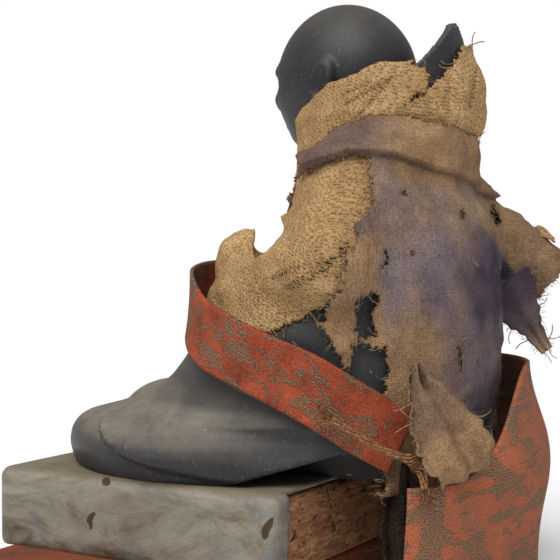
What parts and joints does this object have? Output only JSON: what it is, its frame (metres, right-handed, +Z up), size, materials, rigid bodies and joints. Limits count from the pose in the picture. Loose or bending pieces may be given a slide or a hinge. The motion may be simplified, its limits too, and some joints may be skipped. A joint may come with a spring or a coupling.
{
  "type": "wooden seated monk statue",
  "caption": "Carved wooden monk seated cross-legged, dressed in torn old cloth robes with a brocade sash and back panel, on a cloth-covered board over a low brocade-covered tier.",
  "frame": {"origin": "bottom centre of the whole part, on the underside of the tier board", "axes": "+Z up; the figure faces -Y and its left hand is on +X"},
  "size_m": [0.1624, 0.1334, 0.1663],
  "materials": {
    "lacquered_wood": "worn dark lacquer, dusty",
    "raw_wood": "bare and dry",
    "ochre_crepe": "crinkled crepe, frayed",
    "violet_crepe": "faded open-weave crepe, torn",
    "brown_crepe": "stained crepe",
    "red_brocade": "worn brocade with grey weft floats",
    "brown_cord": "twisted cord",
    "grey_silk": "dull fine weave, stained"
  },
  "bodies": {
    "root": {"figure": "lacquered_wood", "under_robe": "ochre_crepe", "outer_robe": "violet_crepe", "robe_tail": "brown_crepe", "sash_band": "red_brocade", "kesa_panel": "red_brocade", "tie_cord": "brown_cord", "seat_board": "raw_wood", "seat_cover": "grey_silk", "tier_board": "raw_wood", "tier_cover": "red_brocade"}
  },
  "joints": []
}
